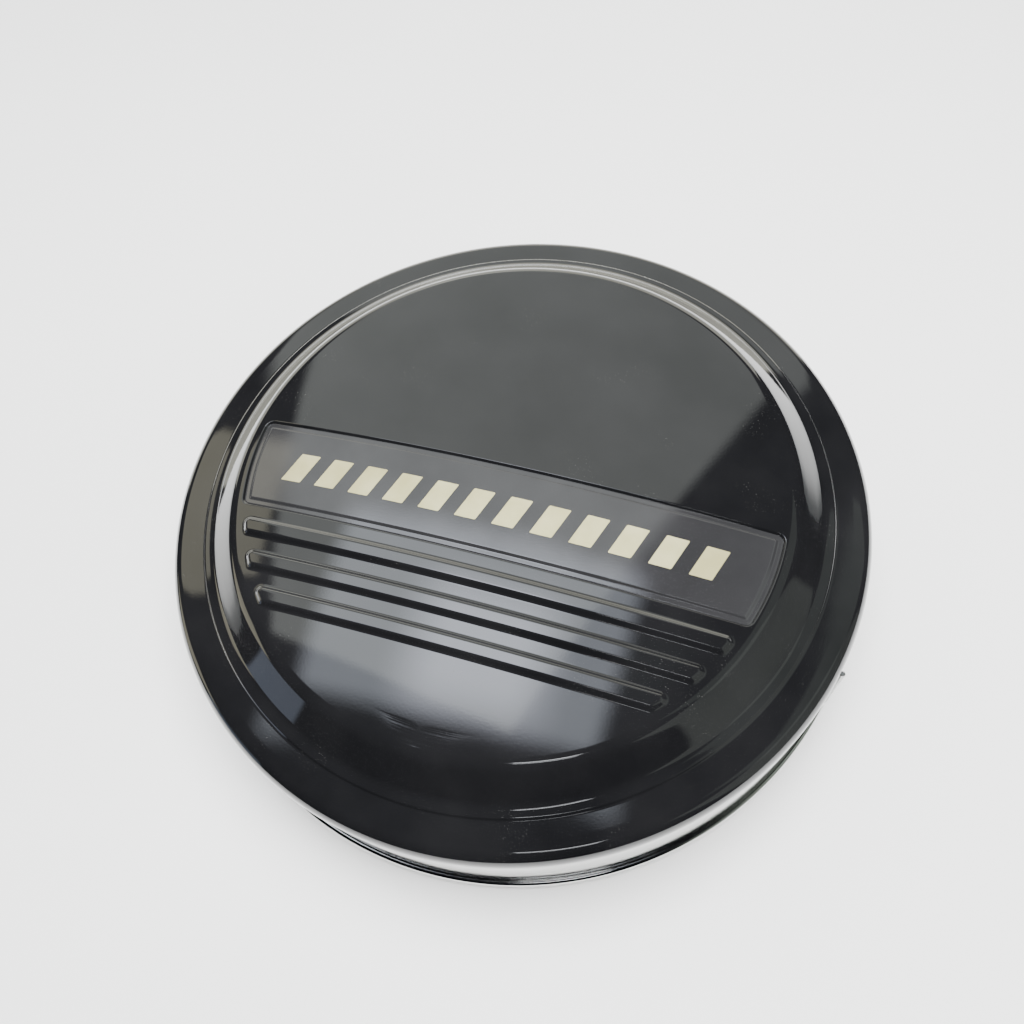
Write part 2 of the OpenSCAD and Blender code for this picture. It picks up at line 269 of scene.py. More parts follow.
gloss = {"low": (0.0045, 0.0046, 0.0052), "high": (0.009, 0.009, 0.0098), "smooth": 0.03,
         "rough": 0.09, "warp": 0.0006, "skin": 0.00002, "dustPatch": 0.66,
         "dustSize": 900, "dust": (0.05, 0.05, 0.047, 1), "dustRough": 0.3}


def glossPlastic():
    material, tree, shader, where = newMaterial(
        "FaceGlossPlastic", Coat_Weight=1.0, Coat_Roughness=0.02, Coat_IOR=1.52, IOR=1.5)
    specks = rangeOf(tree, noiseAt(tree, where, gloss["dustSize"], 0), 0.77, 0.83, 0, 1)
    patches = rangeOf(tree, noiseAt(tree, where, 14, 2),
                      gloss["dustPatch"] - 0.1, gloss["dustPatch"], 0, 1)
    dust = maths(tree, "MULTIPLY", specks, patches)
    base = rampOf(tree, noiseAt(tree, where, 9, 4), [(0.3, gloss["low"]), (0.7, gloss["high"])])
    tree.links.new(mixOf(tree, dust, base, gloss["dust"]), shader.inputs["Base Color"])
    smear = noiseAt(tree, where, 5, 5, 0.6, (1, 2.2, 1))
    haze = rangeOf(tree, smear, 0.3, 0.75, gloss["smooth"], gloss["rough"])
    dusty = maths(tree, "MULTIPLY", dust, gloss["dustRough"])
    tree.links.new(maths(tree, "ADD", haze, dusty), shader.inputs["Roughness"])
    bumps(tree, shader, (noiseAt(tree, where, 6.5, 1), gloss["warp"], 0.5),
          (noiseAt(tree, where, 420, 2), gloss["skin"], 0.4))
    return material


# Dark reflecting film on the nameplate

film = {"low": (0.07, 0.07, 0.074), "high": (0.095, 0.095, 0.10), "smooth": 0.06,
        "rough": 0.13, "warp": 0.0006, "grain": 0.00004}


def plateFilm():
    material, tree, shader, where = newMaterial(
        "PlateFilm", Metallic=0.75, IOR=1.5, Coat_Weight=0.6, Coat_Roughness=0.04)
    colourBy(tree, shader, noiseAt(tree, where, 12, 4), film["low"], film["high"])
    smear = noiseAt(tree, where, 8, 5, 0.6, (1, 3, 1))
    roughnessBy(tree, shader, smear, film["smooth"], film["rough"], end=0.75)
    bumps(tree, shader, (noiseAt(tree, where, 9, 1), film["warp"], 0.4),
          (noiseAt(tree, where, 700, 2), film["grain"], 0.5))
    return material


gold = {"low": (0.40, 0.37, 0.18), "high": (0.50, 0.47, 0.26), "smooth": 0.28,
        "rough": 0.42, "grain": 0.00003}


def goldFilm():
    material, tree, shader, where = newMaterial("PaleGoldFilm", Metallic=0.35, IOR=1.5)
    colourBy(tree, shader, noiseAt(tree, where, 30, 3), gold["low"], gold["high"])
    roughnessBy(tree, shader, noiseAt(tree, where, 80, 3), gold["smooth"], gold["rough"])
    bumps(tree, shader, (noiseAt(tree, where, 900, 2), gold["grain"], 0.5))
    return material


# Mirror-like sheet of the bands, slightly wavy, with faint upright streaks

mirror = {"low": (0.52, 0.52, 0.505), "high": (0.61, 0.61, 0.60), "smooth": 0.05,
          "rough": 0.14, "wave": 0.0007, "streak": 0.00003}


def polishedSteel():
    material, tree, shader, where = newMaterial("PolishedSteel", Metallic=1.0)
    colourBy(tree, shader, noiseAt(tree, where, 7, 3), mirror["low"], mirror["high"])
    streak = noiseAt(tree, where, 30, 4, 0.6, (1, 1, 40))
    roughnessBy(tree, shader, streak, mirror["smooth"], mirror["rough"], end=0.75)
    bumps(tree, shader, (noiseAt(tree, where, 11, 1), mirror["wave"], 0.35),
          (streak, mirror["streak"], 0.3))
    return material


brush = {"shade": 0.82, "smooth": 0.20, "rough": 0.36, "grain": 0.00006}


def brushedSteel(name, stretch, base):
    material, tree, shader, where = newMaterial(name, Metallic=1.0)
    grain = noiseAt(tree, where, 160, 4, 0.6, stretch)
    low = tuple(value * brush["shade"] for value in base)
    colourBy(tree, shader, grain, low, base)
    roughnessBy(tree, shader, grain, brush["smooth"], brush["rough"])
    bumps(tree, shader, (grain, brush["grain"], 0.35))
    return material


def rubber(name, low, high, smooth, rough):
    pore = 0.00012
    material, tree, shader, where = newMaterial(name, IOR=1.5)
    colourBy(tree, shader, noiseAt(tree, where, 25, 5, 0.6), low, high)
    roughnessBy(tree, shader, noiseAt(tree, where, 60, 3), smooth, rough)
    bumps(tree, shader, (noiseAt(tree, where, 1400, 3), pore, 0.5))
    return material


# pit is a painted shade in the foam's cells, darker than the walls between them
foamLook = {"pit": (0.012, 0.012, 0.013), "wall": (0.055, 0.055, 0.057), "cells": 900,
            "cellDepth": 0.0006, "lump": 0.0008}


def cellFoam():
    material, tree, shader, where = newMaterial("CellFoam", IOR=1.4)
    cells = tree.nodes.new("ShaderNodeTexVoronoi")
    cells.inputs["Scale"].default_value = foamLook["cells"]
    tree.links.new(where, cells.inputs["Vector"])
    depth = cells.outputs["Distance"]
    # painted shade: each cell's colour darkens towards its middle, the pit
    colourBy(tree, shader, depth, foamLook["pit"], foamLook["wall"], start=0.1)
    roughnessBy(tree, shader, noiseAt(tree, where, 40, 3), 0.82, 0.96)
    bumps(tree, shader, (depth, foamLook["cellDepth"], 0.7),
          (noiseAt(tree, where, 50, 3), foamLook["lump"], 0.4))
    return material


faceBlack = glossPlastic()
plateBlack = plateFilm()
paleGold = goldFilm()
bandSteel = polishedSteel()
hingeSteel = brushedSteel("HingeSteel", (1, 1, 0.06), (0.50, 0.50, 0.49))
latchSteel = brushedSteel("LatchSteel", (0.06, 1, 1), (0.47, 0.47, 0.46))
hardwareSteel = brushedSteel("HardwareSteel", (1, 1, 1), (0.50, 0.50, 0.49))
# the trims' plain dark grey, lighter than the gasket's, makes the strip under the bead
trimDarkGrey = rubber("TrimDarkGrey", (0.045, 0.045, 0.043), (0.075, 0.075, 0.07), 0.42, 0.6)
sealRubber = rubber("SealRubber", (0.012, 0.012, 0.012), (0.022, 0.022, 0.022), 0.6, 0.75)
foamBlack = cellFoam()
print("materials made")


# The moulded face: domed disc, steep shoulder, flat ring with a low step, rounded edge

cover = {
    "radius": 395.0, "edgeRound": 16.0, "wall": 3.0,
    "disc": 304.0, "domeRound": 2280.0, "baseReach": 284.0,
    "shoulderSlope": 40.0, "shoulderRound": 26.0, "valleyRound": 18.0,
    "ringSlope": 6.0, "flatSlope": 10.0, "flatRun": 6.0,
    "step": 353.0, "stepHeight": 1.8, "stepWidth": 1.5, "stepSlope": 8.0,
    "stepBlend": (352.4, 355.2),
    "stepRadii": (349.5, 351.4, 352.3, 352.8, 353.2, 353.6, 354.0, 354.4, 354.8, 355.4, 356.6,
                  359.0, 364.0, 372.0),
    "skirt": 391.5, "skirtHeight": 20.0, "skirtRound": 0.8,
    # the lip's rounding, as steps inwards and upwards from its outer lower corner
    "lip": ((0.0, 1.8), (0.1, 0.5), (0.7, 0.0)), "lipRound": 0.4,
    "innerSlopeLimit": 55.0,
}
# how finely the face is divided
divisions = {"shoulder": 10, "wall": 4, "valley": 8, "edge": 16, "fineRow": 0.95,
             "wideRow": 5.5, "disc": (84, 20), "inside": (30, 6)}
recess = {"end": 300.0, "low": -101.0, "high": 8.0, "corner": 9.0, "depth": 2.5, "wall": 1.8,
          "lead": 0.7}
backing = {"end": recess["end"] + 1, "low": recess["low"] - 5, "high": recess["high"] + 5,
           "corner": 12.0, "thick": 2.0}
ribs = {"end": 298.0, "first": -115.0, "width": 23.0, "pitch": 36.5, "corner": 8.0,
        "height": 4.0, "slope": 6.5, "lead": 0.4, "count": 3}

edgeZ = lipZ + 3.5
edgeRound = cover["edgeRound"]
shoulderRound, valleyRound = cover["shoulderRound"], cover["valleyRound"]
shoulderSlope, flatSlope = cover["shoulderSlope"], cover["flatSlope"]
ringStartR = cover["radius"] - edgeRound * (1 - sine(cover["ringSlope"]))
ringStartZ = edgeZ + edgeRound * cosine(cover["ringSlope"])
stepEnd = cover["step"] + cover["stepWidth"]
stepZ = ringStartZ + (ringStartR - cover["step"] - cover["stepWidth"]) * tangent(cover["ringSlope"])
flatR = cover["step"] - cover["flatRun"]
flatZ = stepZ + cover["stepHeight"] + cover["flatRun"] * tangent(flatSlope)
valleyR = flatR - valleyRound * (sine(shoulderSlope) - sine(flatSlope))
valleyZ = flatZ + valleyRound * (cosine(flatSlope) - cosine(shoulderSlope))
discSlope = math.degrees(math.asin(cover["disc"] / cover["domeRound"]))
shoulderR = cover["disc"] + shoulderRound * (sine(shoulderSlope) - sine(discSlope))
shoulderZ = valleyZ + (valleyR - shoulderR) * tangent(shoulderSlope)
discZ = shoulderZ + shoulderRound * (cosine(discSlope) - cosine(shoulderSlope))
apexZ = discZ + cover["domeRound"] * (1 - cosine(discSlope))


def domeZ(x, y, depth=0.0):
    reach = cover["domeRound"] - depth
    return apexZ - cover["domeRound"] + math.sqrt(reach * reach - x * x - y * y)


def faceStations():
    # (radius, height, slope) from the disc's rim out and down to the upright edge
    made = []
    for i in range(1, divisions["shoulder"] + 1):
        a = discSlope + (shoulderSlope - discSlope) * i / divisions["shoulder"]
        made.append((cover["disc"] + shoulderRound * (sine(a) - sine(discSlope)),
                     discZ - shoulderRound * (cosine(discSlope) - cosine(a)), a))
    for i in range(1, divisions["wall"]):
        t = i / divisions["wall"]
        made.append((shoulderR + (valleyR - shoulderR) * t,
                     shoulderZ + (valleyZ - shoulderZ) * t, shoulderSlope))
    for i in range(divisions["valley"] + 1):
        a = shoulderSlope + (flatSlope - shoulderSlope) * i / divisions["valley"]
        made.append((flatR - valleyRound * (sine(a) - sine(flatSlope)),
                     flatZ + valleyRound * (cosine(flatSlope) - cosine(a)), a))
    for r in cover["stepRadii"]:
        inner = stepZ + cover["stepHeight"] + (cover["step"] - r) * tangent(flatSlope)
        outer = stepZ + (stepEnd - r) * tangent(cover["ringSlope"])
        blend = smoothRamp(r, *cover["stepBlend"])
        made.append((r, inner + (outer - inner) * blend, cover["stepSlope"]))
    for i in range(divisions["edge"] + 1):
        a = cover["ringSlope"] + (90 - cover["ringSlope"]) * i / divisions["edge"]
        made.append((cover["radius"] - edgeRound * (1 - sine(a)),
                     edgeZ + edgeRound * cosine(a), a))
    return made


def innerSkin():
    # every other station, one wall's thickness inside
    wall = cover["wall"]
    skin = [(r - wall * sine(a), z - wall * cosine(a))
            for r, z, a in faceStations()[::2] if a <= cover["innerSlopeLimit"]]
    return [point for point in skin if point[0] < cover["skirt"] - wall - 0.5]


def barDistance(x, y, bar):
    # how far inside a bar with circular ends and rounded corners a point lies
    x = abs(x)
    corner = bar["corner"]
    high, low = bar["high"] - corner, bar["low"] + corner
    reach = bar["end"] - corner
    for level, side in ((high, 1), (low, -1)):
        tipX = math.sqrt(reach * reach - level * level)
        dx, dy = x - tipX, y - level
        along = (-level * dx + tipX * dy) / reach * side
        if dx >= 0 and along >= 0:
            return corner - math.hypot(dx, dy)
    return corner - max(y - high, low - y, math.hypot(x, y) - reach)


def ribBar(i):
    high = ribs["first"] - i * ribs["pitch"]
    return {"end": ribs["end"], "corner": ribs["corner"], "high": high,
            "low": high - ribs["width"]}


ribBars = [ribBar(i) for i in range(ribs["count"])]


def faceRelief(x, y):
    lead = recess["lead"]
    lift = -recess["depth"] * smoothRamp(barDistance(x, y, recess), -lead, recess["wall"] - lead)
    for bar in ribBars:
        if bar["low"] - 3 < y < bar["high"] + 3:
            lift += ribs["height"] * smoothRamp(barDistance(x, y, bar), -ribs["lead"],
                                                ribs["slope"])
    return lift


def rowsFor(reach, fineBands, fine, wide):
    # rows from -reach to reach: fine inside the bands, evenly round the rim elsewhere
    rows = [-reach]
    while rows[-1] < reach - 1e-6:
        y = rows[-1]
        step = fine if any(low - fine <= y <= high for low, high in fineBands) else wide
        angle = math.asin(max(-1.0, min(1.0, y / reach))) + wide / reach
        rim = reach * math.sin(angle) - y if angle < math.pi / 2 else reach - y
        step = min(step, max(rim, 0.05))
        for low, high in fineBands:
            if y < low - fine and y + step > low - fine:
                step = low - fine - y + 1e-4
        rows.append(min(y + step, reach))
    if reach - rows[-2] < 0.02:
        del rows[-2]
    return rows


def discColumns(inner, outer):
    # -2 to 2: up to 1 spreads over the middle, the rest lies towards the rim
    middle = [-1 + 2 * i / inner for i in range(inner + 1)]
    ends = [1 + (i + 1) / outer for i in range(outer)]
    return [-value for value in reversed(ends)] + middle + ends


def discX(column, y, reach):
    base = cover["baseReach"] * reach / cover["disc"]
    side = abs(column)
    radius = base if side <= 1 else base + (side - 1) * (reach - base)
    return math.copysign(min(side, 1) * math.sqrt(max(radius * radius - y * y, 0)), column)


def makeFace():
    bands = [(ribBars[-1]["low"] - 1, ribs["first"] + 1),
             (recess["low"] - 1.5, recess["low"] + 10),
             (recess["high"] - 10, recess["high"] + 1.5)]
    disc, wall, skirt = cover["disc"], cover["wall"], cover["skirt"]
    rows = rowsFor(disc, bands, divisions["fineRow"], divisions["wideRow"])
    bm = bmesh.new()

    def outer(column, y):
        x = discX(column, y, disc)
        return Vector((x, y, domeZ(x, y) + faceRelief(x, y)))

    gridPatch(bm, rows, discColumns(*divisions["disc"]), outer)
    rim = openEdges(bm)
    low, turned, lipRound = lipZ - cover["skirtHeight"], cover["skirtRound"], cover["lipRound"]
    outline = [(r, z) for r, z, slope in faceStations()]
    outline += [(cover["radius"] - inwards, lipZ + upwards) for inwards, upwards in cover["lip"]]
    outline += [(skirt + lipRound, lipZ), (skirt, lipZ - lipRound),
                (skirt, low + turned), (skirt - turned, low),
                (skirt - wall + turned, low), (skirt - wall, low + turned)]
    outline += reversed(innerSkin())
    k = (disc - wall * sine(discSlope)) / disc
    outline.append((disc * k, domeZ(disc * k, 0, wall)))
    for r, z in outline:
        rim = extrudeRim(bm, rim, atStation(r, z))

    def inner(column, y):
        x = discX(column, y, disc * k)
        thick = backing["thick"] * smoothRamp(barDistance(x, y, backing), -1, 1.5)
        return Vector((x, y, domeZ(x, y, wall + thick)))

    gridPatch(bm, [y * k for y in rows], discColumns(*divisions["inside"]), inner)
    bmesh.ops.recalc_face_normals(bm, faces=bm.faces)
    print("face open edges", len(openEdges(bm)), "faces", len(bm.faces))
    finishPiece("FaceShell", bm, faceBlack, "upper_cover", "face_shell")


makeFace()
print("face made")


# The nameplate: a flange, a raised panel, and studs through the face

plate = {"gap": 1.0, "flangeDepth": 2.0, "topDepth": 0.1, "rimStart": 5.5, "rimEnd": 8.5,
         "edgeDrop": 0.5, "edgeRound": 1.2, "seat": 0.02,
         "studs": (-240, -80, 80, 240), "studRadius": 2.5, "studLength": 9.0,
         "studSides": 24, "studTip": 0.5,
         "edgeRows": (0.05, 0.2, 0.5), "rimRow": 0.6, "rimReach": 11, "wideRow": 5,
         "endColumns": (1.0, 0.9985, 0.996, 0.993, 0.990, 0.987, 0.984, 0.981, 0.978, 0.975,
                        0.972, 0.969, 0.966, 0.963, 0.960, 0.955),
         "middleColumns": 90}
plateBar = {"end": recess["end"] - plate["gap"], "low": recess["low"] + plate["gap"],
            "high": recess["high"] - plate["gap"], "corner": recess["corner"] - plate["gap"]}
plateMiddle = (recess["low"] + recess["high"]) / 2


def barHalfWidth(y, bar):
    corner = bar["corner"]
    high, low, reach = bar["high"] - corner, bar["low"] + corner, bar["end"] - corner
    for level, side in ((high, 1), (low, -1)):
        tipX = math.sqrt(reach * reach - level * level)
        # the corner meets the circular end where the end's own radius passes its centre
        meetY = level * bar["end"] / reach
        if (y - meetY) * side > 0:
            rise = y - level
            return tipX + math.sqrt(max(corner * corner - rise * rise, 0))
    return math.sqrt(bar["end"] ** 2 - y * y)


def plateDepth(x, y):
    inside = barDistance(x, y, plateBar)
    edge = plate["edgeDrop"] * (1 - smoothRamp(inside, 0, plate["edgeRound"]))
    rise = plate["flangeDepth"] - plate["topDepth"]
    return (plate["flangeDepth"] + edge
            - rise * smoothRamp(inside, plate["rimStart"], plate["rimEnd"]))


def plateRows():
    low, high = plateBar["low"], plateBar["high"]
    edge, fine = plate["edgeRows"], plate["rimRow"]
    rows = [low] + [low + step for step in edge]
    while rows[-1] < low + plate["rimReach"]:
        rows.append(rows[-1] + fine)
    while rows[-1] < high - plate["rimReach"] - plate["wideRow"]:
        rows.append(rows[-1] + plate["wideRow"])
    while rows[-1] < high - edge[-1] - 0.4:
        rows.append(rows[-1] + fine)
    rows += [high - step for step in reversed(edge)] + [high]
    return sorted(set(round(y, 4) for y in rows))


def plateColumns():
    ends, count = plate["endColumns"], plate["middleColumns"]
    middle = [ends[-1] * (1 - 2 * i / count) for i in range(1, count)]
    return [-value for value in ends] + [-value for value in middle] + list(reversed(ends))


def addStud(bm, x, y, top):
    radius, length = plate["studRadius"], plate["studLength"]
    turn = Matrix.Translation((x, y, top - length / 2 + 0.3))
    stud = bmesh.ops.create_cone(bm, cap_ends=True, segments=plate["studSides"],
                                 radius1=radius - 0.2, radius2=radius - 0.05, depth=length,
                                 matrix=turn)
    limit = top - length + 1
    tip = {edge for vert in stud["verts"] if vert.co.z < limit for edge in vert.link_edges
           if all(end.co.z < limit for end in edge.verts)}
    roundEdges(bm, tip, plate["studTip"], 2)


def makePlate():
    rows, columns = plateRows(), plateColumns()
    below = recess["depth"] + plate["seat"]
    bm = bmesh.new()

    def top(column, y):
        x = column * barHalfWidth(y, plateBar)
        return Vector((x, y, domeZ(x, y, plateDepth(x, y))))

    def bottom(column, y):
        x = column * barHalfWidth(y, plateBar)
        return Vector((x, y, domeZ(x, y, below)))

    gridPatch(bm, rows, columns, top)
    extrudeRim(bm, openEdges(bm), lambda p: Vector((p.x, p.y, domeZ(p.x, p.y, below))))
    # the same rows and columns, so that the rims meet point to point
    gridPatch(bm, rows, columns, bottom)
    for x in plate["studs"]:
        addStud(bm, x, plateMiddle, domeZ(x, plateMiddle, below))
    bmesh.ops.recalc_face_normals(bm, faces=bm.faces)
    print("plate open edges", len(openEdges(bm)), "faces", len(bm.faces))
    finishPiece("PlatePanel", bm, plateBlack, "upper_cover", "nameplate")


makePlate()

# Slanted bars on the plate, thin as film
bars = {"count": 12, "width": 24.0, "height": 36.0, "slant": 12.0, "pitch": 42.0,
        "thick": 0.25, "corner": 1.2, "cuts": 6, "sunk": 0.02}


def makeBar(centre):
    height, thick = bars["height"], bars["thick"]
    part = bmesh.new()
    bmesh.ops.create_cube(part, size=1,
                          matrix=Matrix.Diagonal((bars["width"], height, thick, 1)))
    upright = [e for e in part.edges if abs(e.verts[0].co.z - e.verts[1].co.z) > thick / 2]
    roundEdges(part, upright, bars["corner"], 3)
    for cut in range(1, bars["cuts"]):
        level = -height / 2 + height * cut / bars["cuts"]
        bmesh.ops.bisect_plane(part, geom=part.verts[:] + part.edges[:] + part.faces[:],
                               plane_co=(0, level, 0), plane_no=(0, 1, 0))
    for vert in part.verts:
        x = vert.co.x + vert.co.y / height * bars["slant"] + centre
        y = vert.co.y + plateMiddle
        z = domeZ(x, y, plate["topDepth"]) + vert.co.z + thick / 2 - bars["sunk"]
        vert.co = (x, y, z)
    return part


def makeStripes():
    bm = bmesh.new()
    for i in range(bars["count"]):
        addCopy(bm, makeBar((i - (bars["count"] - 1) / 2) * bars["pitch"]))
    bmesh.ops.recalc_face_normals(bm, faces=bm.faces)
    finishPiece("PlateStripes", bm, paleGold, "upper_cover",
                "nameplate_stripes", sharp=35)


makeStripes()
print("nameplate made")


# The two side bands with their rolled rear bead

band = {"beadRadius": 4.5, "beadCentre": 395.5, "beadZ": 18.5, "beadSteps": 28,
        "lipRound": 0.5, "innerRound": 0.2, "rowsBelowTop": (40, 80), "gap": 0.3,
        "drawBack": 2.6, "drawFrom": 0.3, "drawTo": 2.4}


def beadAngle(r, radius):
    # where the bead's circle passes a radius of the cover
    return math.degrees(math.acos((r - band["beadCentre"]) / radius))


def bandProfile():
    lip, inner = band["lipRound"], band["innerRound"]
    points = arc(bandOut - lip, bandTop - lip, lip, 0, 90, 4)
    points += [(bandIn + inner, bandTop), (bandIn, bandTop - inner)]
    points += [(bandIn, bandTop - drop) for drop in band["rowsBelowTop"]]
    # round the bead from the inside face, under it and back up to the outside face
    radius = band["beadRadius"]
    points += arc(band["beadCentre"], band["beadZ"], radius, beadAngle(bandIn, radius),
                  360 + beadAngle(bandOut, radius), band["beadSteps"])
    return points + [(bandOut, bandTop - drop) for drop in reversed(band["rowsBelowTop"])]


def drawBackBead(bm, angle):
    # the bead's end is drawn back where it swings in past the hinge's axis
    end = Vector((cosine(angle), sine(angle), 0))
    back = Vector((end.y, -end.x, 0))
    for vert in bm.verts:
        flat = Vector((vert.co.x, vert.co.y, 0))
        if flat.dot(end) > 0 and abs(flat.dot(back)) < 1.0:
            share = smoothRamp(flat.length, bandOut + band["drawFrom"], bandOut + band["drawTo"])
            vert.co += back * band["drawBack"] * share


def sweepSide(profile, start, span, stepSize=1, margin=0.0, endRound=0.0):
    bm = bmesh.new()
    revolve(bm, profile, start + margin, span - 2 * margin, round(span / stepSize), endRound)
    print("sweep open edges", len(openEdges(bm)), "faces", len(bm.faces))
    return bm


endGap = math.degrees(band["gap"] / bandOut)


def makeBand(name, node, body, start, span):
    bm = sweepSide(bandProfile(), start, span, margin=endGap)
    if body == "lower_cover":
        drawBackBead(bm, start + span - endGap)
    finishPiece(name, bm, bandSteel, body, node, sharp=32)


makeBand("UpperBandSheet", "upper_band", *upperSide)
makeBand("LowerBandSheet", "lower_band", *lowerSide)
print("bands made")


# Foam liners inside the bands

foam = {"inner": 388.5, "low": 36.0, "high": 90.0, "margin": 2.0, "corner": 1.6,
        "sunk": 0.02, "endRound": 1.0}


def linerProfile():
    r0, r1, corner = foam["inner"], bandIn - foam["sunk"], foam["corner"]
    low, high = foam["low"] + corner, foam["high"] - corner
    return (arc(r1 - corner, high, corner, 0, 90, 3) + arc(r0 + corner, high, corner, 90, 180, 3)
            + arc(r0 + corner, low, corner, 180, 270, 3)
            + arc(r1 - corner, low, corner, 270, 360, 3))


def makeLiner(name, node, body, start, span):
    bm = sweepSide(linerProfile(), start, span, 2, foam["margin"], foam["endRound"])
    finishPiece(name, bm, foamBlack, body, node, sharp=50)


makeLiner("UpperLiner", "upper_liner", *upperSide)
makeLiner("LowerLiner", "lower_liner", *lowerSide)
print("liners made")


# Foam pads between the face's ring and the tyre

pads = {"count": 6, "first": 18.0, "span": 24.0, "above": 4.5, "inner": 346.0,
        "outer": 381.0, "gap": 0.15, "corner": 2.0, "endRound": 1.2, "steps": 16}


def makePads():
    profile = [(r, z - pads["gap"]) for r, z in innerSkin()
               if pads["inner"] <= r <= pads["outer"]]
    corner = pads["corner"]
    level = lipZ + pads["above"] + corner
    innerR, outerR = profile[0][0] + corner, profile[-1][0] - corner
    profile += arc(outerR, level, corner, 0, -90, 4) + arc(innerR, level, corner, -90, -180, 4)
    bm = bmesh.new()
    for i in range(pads["count"]):
        part = bmesh.new()
        revolve(part, profile, i * 360 / pads["count"] + pads["first"], pads["span"],
                pads["steps"], pads["endRound"])
        addCopy(bm, part)
    print("pads open edges", len(openEdges(bm)))
    finishPiece("FacePads", bm, foamBlack, "upper_cover", "face_pads", sharp=50)


makePads()


# Dark grey trims at the rear edge: a foot with a seat for the bead, and a leg up the sheet; the
# foot shows as a dark grey strip all round under the bead

trim = {"inner": 390.2, "outer": 395.0, "legOut": 392.75, "legTop": 30.0, "round": 1.0,
        "seatGap": 0.03, "seatSteps": 16}


def trimProfile():
    corner, radius = trim["round"], band["beadRadius"] + trim["seatGap"]
    legZ = trim["legTop"] - corner
    return (arc(trim["inner"] + corner, corner, corner, 180, 270, 4)
            + arc(trim["outer"] - corner, corner, corner, 270, 360, 4)
            + arc(band["beadCentre"], band["beadZ"], radius,
                  360 - beadAngle(trim["outer"], radius), beadAngle(trim["legOut"], radius),
                  trim["seatSteps"])
            + arc(trim["legOut"] - corner, legZ, corner, 0, 90, 4)
            + arc(trim["inner"] + corner, legZ, corner, 90, 180, 4))


def makeTrim(name, node, body, start, span):
    bm = sweepSide(trimProfile(), start, span, margin=endGap)
    finishPiece(name, bm, trimDarkGrey, body, node, sharp=40)


makeTrim("UpperEdgeTrim", "upper_edge_trim", *upperSide)
makeTrim("LowerEdgeTrim", "lower_edge_trim", *lowerSide)
print("pads and trims made")


# Rivets with domed heads through the band and the face's skirt

rivets = {"count": 6, "first": 30.0, "last": 150.0, "height": 112.0, "headRadius": 5.0,
          "headHeight": 1.5, "headRound": 1.4, "headSunk": 0.02, "shank": 2.35,
          "tailRadius": 3.8, "tailHeight": 1.5, "tailRound": 0.7, "grip": 5.5, "sides": 32}


def turnedPart(bm, place, *rings):
    # stacked discs (radius, from, to, rounding) along the local Z of a place
    for radius, low, high, rounding in rings:
        middle = place @ Matrix.Translation((0, 0, (low + high) / 2))
        disc = bmesh.ops.create_cone(bm, cap_ends=True, segments=rivets["sides"],
                                     radius1=radius, radius2=radius, depth=high - low,
                                     matrix=middle)
        top = {v for v in disc["verts"] if (place.inverted() @ v.co).z > high - 0.01}
        if rounding:
            edges = {e for v in top for e in v.link_edges if e.other_vert(v) in top}
            roundEdges(bm, edges, rounding, 5)


def makeBandRivets():
    bm = bmesh.new()
    for i in range(rivets["count"]):
        share = i / (rivets["count"] - 1)
        angle = rivets["first"] + (rivets["last"] - rivets["first"]) * share
        place = (Matrix.Rotation(math.radians(angle), 4, "Z")
                 @ Matrix.Translation((bandOut, 0, rivets["height"]))
                 @ Matrix.Rotation(math.radians(90), 4, "Y"))
        head = (rivets["headRadius"], -rivets["headSunk"], rivets["headHeight"],
                rivets["headRound"])
        turnedPart(bm, place, head, (rivets["shank"], -rivets["grip"], 0.0, 0))
        inside = (place @ Matrix.Translation((0, 0, -rivets["grip"]))
                  @ Matrix.Rotation(math.pi, 4, "X"))
        turnedPart(bm, inside, (rivets["tailRadius"], 0.0, rivets["tailHeight"],
                                rivets["tailRound"]))
    bmesh.ops.recalc_face_normals(bm, faces=bm.faces)
    finishPiece("BandRivets", bm, hardwareSteel, "upper_cover",
                "band_rivets", sharp=40)


makeBandRivets()
print("rivets made")


# Finishes on the CAD pieces that stay, with softened edges in millimetres on some

edgeSoftening = {"latch_base": 0.35, "latch_lever": 0.45, "latch_catch": 0.35,
                 "upper_hinge_leaf": 0.25, "lower_hinge_leaf": 0.25, "seam_tongue": 0.2,
                 "nameplate_push_nuts": 0.2}
finishes = {
    "nameplate_push_nuts": hardwareSteel, "front_gasket": sealRubber,
    "upper_hinge_leaf": hingeSteel, "lower_hinge_leaf": hingeSteel,
    "hinge_pin": hardwareSteel, "seam_tongue": hardwareSteel,
    "latch_base": latchSteel, "latch_base_rivets": hardwareSteel,
    "latch_lever": latchSteel, "latch_lever_pin": hardwareSteel,
    "latch_loop": latchSteel, "latch_catch": latchSteel,
    "latch_catch_rivets": hardwareSteel,
}


def dressNode(node, material):
    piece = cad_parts[node]
    if node in edgeSoftening:
        weld = piece.modifiers.new("Weld", "WELD")
        weld.merge_threshold = 0.00001
        bevel = piece.modifiers.new("Bevel", "BEVEL")
        bevel.width = edgeSoftening[node] * mm
        bevel.segments = 2
        bevel.limit_method = "ANGLE"
        bevel.angle_limit = math.radians(40)
    if piece.material_slots:
        for slot in piece.material_slots:
            slot.material = material
    else:
        piece.data.materials.append(material)


for node, material in finishes.items():
    dressNode(node, material)
print("finishes set")


# Floor, light and camera

floorLook = {"halfSize": 25, "below": 0.0005, "low": (0.86, 0.86, 0.855),
             "high": (0.9, 0.9, 0.895), "rough": 0.7}


def makeFloor():
    bm = bmesh.new()
    bmesh.ops.create_grid(bm, x_segments=2, y_segments=2, size=floorLook["halfSize"])
    bmesh.ops.translate(bm, verts=bm.verts, vec=(0, 0, cadLow.z - floorLook["below"]))
    mesh = bpy.data.meshes.new("Floor")
    bm.to_mesh(mesh)
    bm.free()
    floor = bpy.data.objects.new("Floor", mesh)
    bpy.context.collection.objects.link(floor)
    material, tree, shader, where = newMaterial("PaleFloor", Roughness=floorLook["rough"])
    colourBy(tree, shader, noiseAt(tree, where, 1.2, 2), floorLook["low"], floorLook["high"])
    mesh.materials.append(material)


